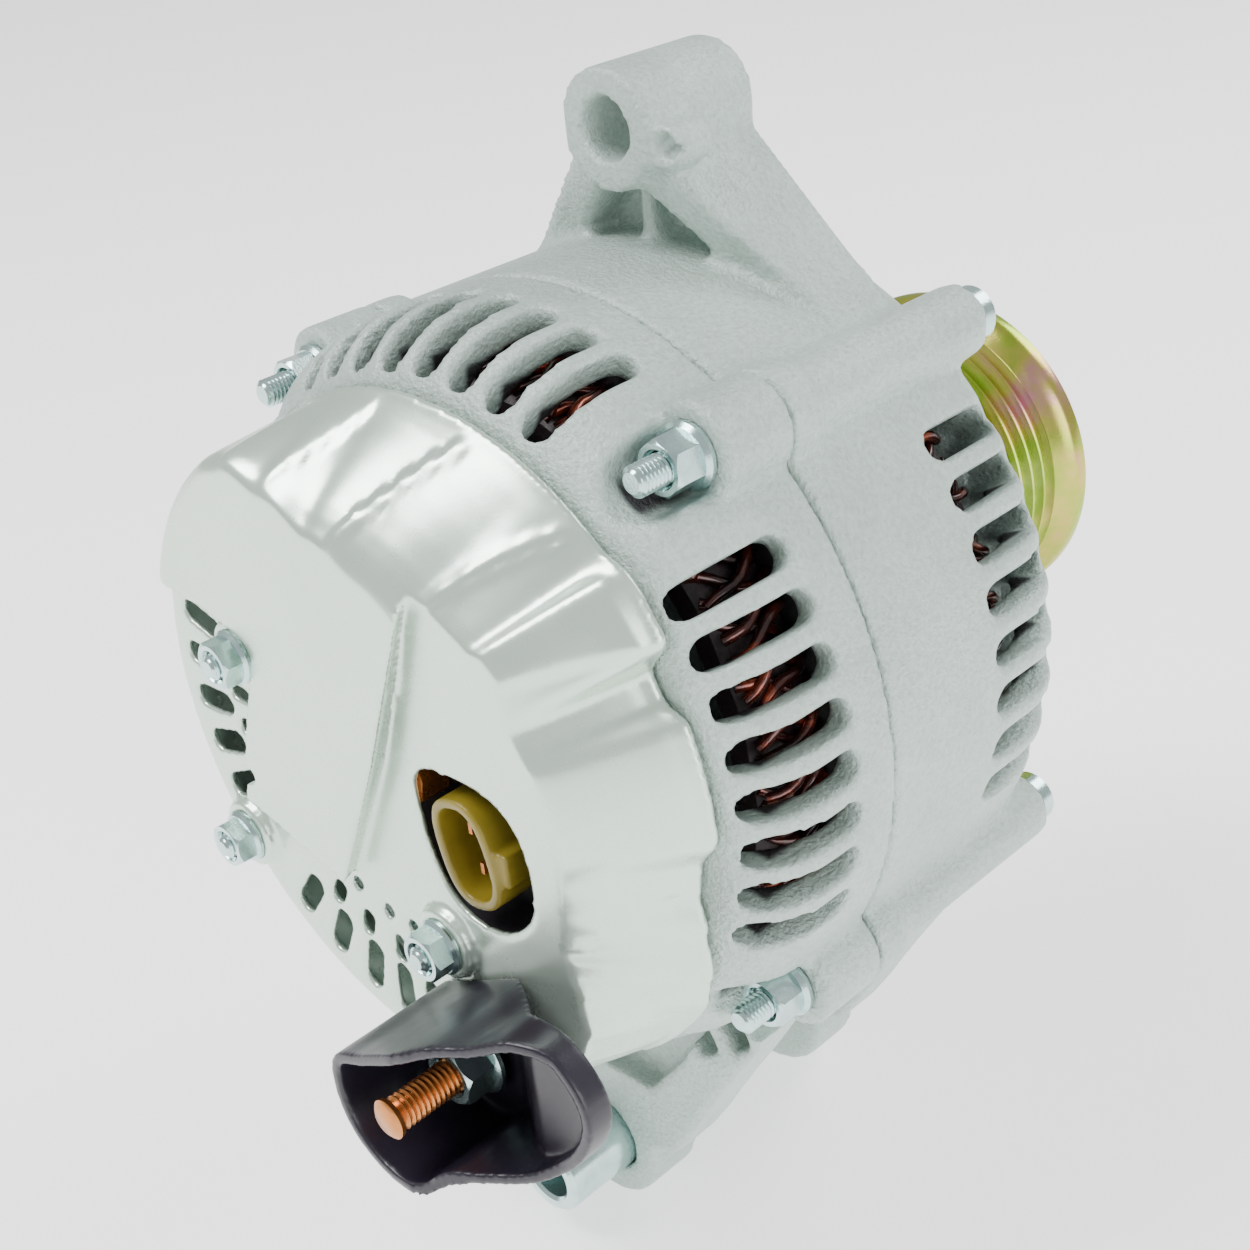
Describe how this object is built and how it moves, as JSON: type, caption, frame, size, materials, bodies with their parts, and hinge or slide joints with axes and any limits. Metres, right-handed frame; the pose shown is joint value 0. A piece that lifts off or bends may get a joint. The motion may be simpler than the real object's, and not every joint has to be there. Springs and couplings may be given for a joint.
{
  "type": "car alternator",
  "caption": "Air-cooled claw-pole generator with two slotted aluminium housings, multi-groove pulley, pivot ear, lower lugs, rear cover, plug socket and booted output stud",
  "frame": {"origin": "on the rotor axis, in the middle plane of the belt grooves", "axes": "+Y along the rotor axis towards the pulley, +Z towards the upper pivot ear, +X to the right seen from the rear cover"},
  "size_m": [0.132, 0.1827, 0.208],
  "materials": {
    "cast_aluminium": "fine sand-cast, matt",
    "cover_aluminium": "smooth, semi-gloss",
    "zinc_steel": "clear zinc plate",
    "yellow_zinc_steel": "yellow iridescent zinc plate",
    "laminations": "stacked steel sheet",
    "enamelled_copper": "varnished winding wire, dark red-brown",
    "copper": "bare copper alloy",
    "black_plastic": "moulded, satin",
    "olive_plastic": "moulded, satin",
    "carbon": "pressed graphite",
    "bare_steel": "machined"
  },
  "bodies": {
    "frame": {"drive_end_housing": "cast_aluminium", "rear_housing": "cast_aluminium", "stator_core": "laminations", "stator_winding": "enamelled_copper", "front_bearing_outer_race": "bare_steel", "rear_bearing_outer_race": "bare_steel", "bearing_retainer": "bare_steel", "retainer_screw_1": "bare_steel", "retainer_screw_2": "bare_steel", "retainer_screw_3": "bare_steel", "rectifier_heat_sink": "cast_aluminium", "diode_1": "zinc_steel", "diode_2": "zinc_steel", "diode_3": "zinc_steel", "diode_4": "zinc_steel", "regulator": "black_plastic", "brush_holder": "black_plastic", "brush_spring_1": "bare_steel", "brush_spring_2": "bare_steel", "rear_cover": "cover_aluminium", "cover_stud_1": "zinc_steel", "cover_stud_2": "zinc_steel", "cover_stud_3": "zinc_steel", "cover_nut_1": "zinc_steel", "cover_nut_2": "zinc_steel", "cover_nut_3": "zinc_steel", "terminal_boot": "black_plastic", "output_stud": "copper", "output_nut": "zinc_steel", "connector_shell": "olive_plastic", "connector_pin_1": "copper", "connector_pin_2": "copper", "tie_bolt_1": "zinc_steel", "tie_bolt_2": "zinc_steel", "tie_bolt_3": "zinc_steel", "tie_bolt_4": "zinc_steel", "tie_nut_1": "zinc_steel", "tie_nut_2": "zinc_steel", "tie_nut_3": "zinc_steel", "tie_nut_4": "zinc_steel", "mounting_bushing": "zinc_steel"},
    "rotor": {"rotor_shaft": "bare_steel", "claw_pole_front": "bare_steel", "claw_pole_rear": "bare_steel", "field_coil": "enamelled_copper", "front_fan": "bare_steel", "rear_fan": "bare_steel", "slip_ring_hub": "black_plastic", "slip_ring_inner": "copper", "slip_ring_outer": "copper", "front_bearing_inner_race": "bare_steel", "rear_bearing_inner_race": "bare_steel", "pulley": "yellow_zinc_steel", "pulley_spacer": "zinc_steel", "pulley_nut": "zinc_steel"},
    "front_balls": {"front_ball_cage": "copper"},
    "rear_balls": {"rear_ball_cage": "copper"},
    "brush_a": {"brush_1": "carbon"},
    "brush_b": {"brush_2": "carbon"}
  },
  "joints": [
    {"name": "rotor_spin", "type": "hinge", "parent": "frame", "child": "rotor", "pos_m": [0, 0, 0], "axis": [0, 1, 0], "continuous": true},
    {"name": "front_balls_spin", "type": "hinge", "parent": "frame", "child": "front_balls", "pos_m": [0, -0.04253, 0], "axis": [0, 1, 0], "continuous": true},
    {"name": "rear_balls_spin", "type": "hinge", "parent": "frame", "child": "rear_balls", "pos_m": [0, -0.11268, 0], "axis": [0, 1, 0], "continuous": true},
    {"name": "brush_a_slide", "type": "slide", "parent": "frame", "child": "brush_a", "axis": [0, 0, 1], "range_m": [0, 0.004], "stiffness_N_per_m": 150, "springref_m": -0.008, "deforming": ["brush_spring_1"]},
    {"name": "brush_b_slide", "type": "slide", "parent": "frame", "child": "brush_b", "axis": [0, 0, 1], "range_m": [0, 0.004], "stiffness_N_per_m": 150, "springref_m": -0.008, "deforming": ["brush_spring_2"]}
  ],
  "couplings": [
    {"joint": "front_balls_spin", "follows": "rotor_spin", "ratio": 0.37},
    {"joint": "rear_balls_spin", "follows": "rotor_spin", "ratio": 0.39}
  ]
}
